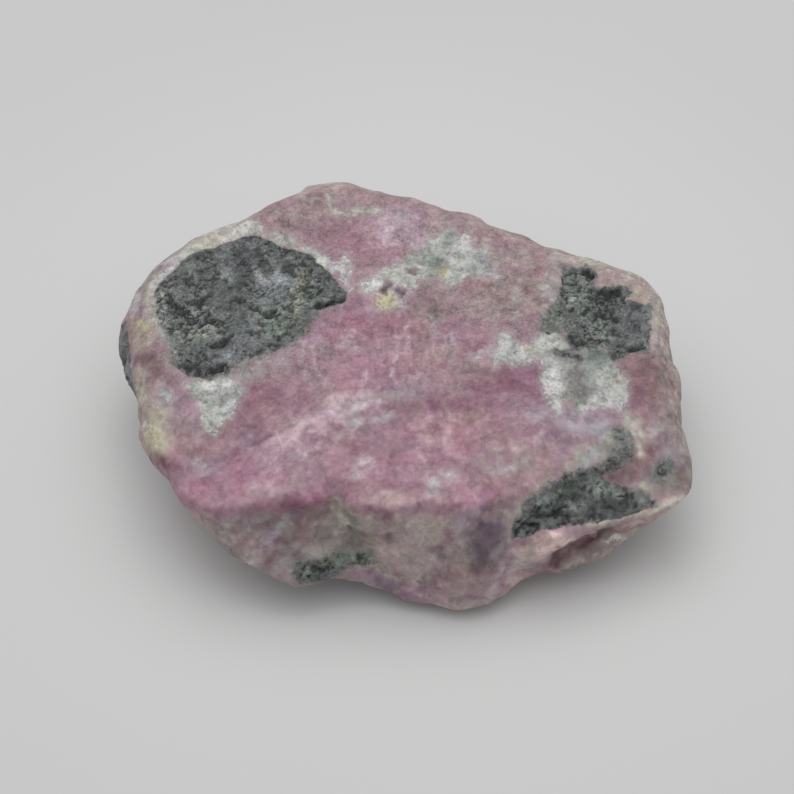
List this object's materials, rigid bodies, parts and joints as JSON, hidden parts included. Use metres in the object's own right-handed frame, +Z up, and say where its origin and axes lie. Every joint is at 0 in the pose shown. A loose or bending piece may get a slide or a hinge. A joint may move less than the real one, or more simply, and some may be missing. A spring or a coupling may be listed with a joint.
{
  "type": "raw ruby crystal",
  "caption": "Flat broken slab of rough pink ruby with dark mica pods and pale veins, lying on its flat underside.",
  "frame": {"origin": "on the ground under the middle of the stone's box", "axes": "+X to the right along the stone's length, +Y to the back, +Z up, out of the broad top face"},
  "size_m": [0.0548, 0.0456, 0.0152],
  "materials": {
    "stone": "rough broken crystal, pink to lilac, with dark grey-green mica pods and pale veins"
  },
  "bodies": {
    "root": {"ruby_crystal": "stone"}
  },
  "joints": []
}
